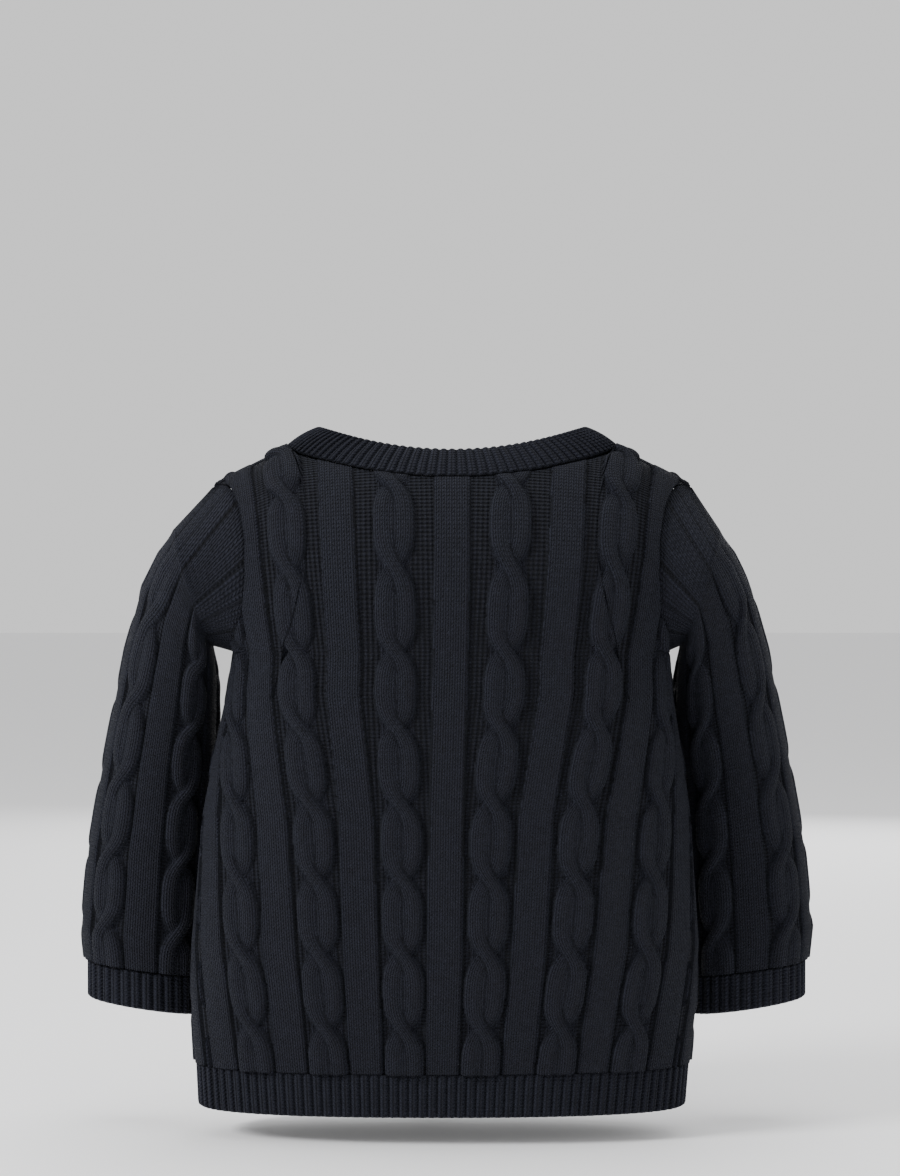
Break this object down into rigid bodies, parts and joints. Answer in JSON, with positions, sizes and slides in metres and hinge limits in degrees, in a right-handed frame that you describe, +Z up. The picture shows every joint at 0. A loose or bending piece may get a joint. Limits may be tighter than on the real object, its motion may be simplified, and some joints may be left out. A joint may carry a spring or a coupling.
{
  "type": "baby's cable-knit cardigan",
  "caption": "Small round-neck long-sleeved cardigan in cable knit with ribbed edges and a buttoned front, filled out and hollow as if worn.",
  "frame": {"origin": "on the wearer's shoulders: midway between the two points where the neck seam meets the shoulder seams", "axes": "+Z up, -Y out of the back, +Y out of the buttoned front, -X to the wearer's left"},
  "size_m": [0.3211, 0.1107, 0.2892],
  "materials": {
    "knit": "navy cotton cable knit, matt",
    "rib_knit": "navy cotton rib knit, matt",
    "button": "navy, soft gloss"
  },
  "bodies": {
    "root": {"back": "knit", "front_left": "knit", "front_right": "knit", "hem_back": "rib_knit", "hem_left": "rib_knit", "hem_right": "rib_knit", "sleeve_left": "knit", "sleeve_right": "knit", "cuff_left": "rib_knit", "cuff_right": "rib_knit", "neckband": "rib_knit", "band_buttons": "rib_knit", "band_holes": "rib_knit", "button_1": "button", "button_2": "button", "button_3": "button", "button_4": "button", "button_5": "button"}
  },
  "joints": []
}
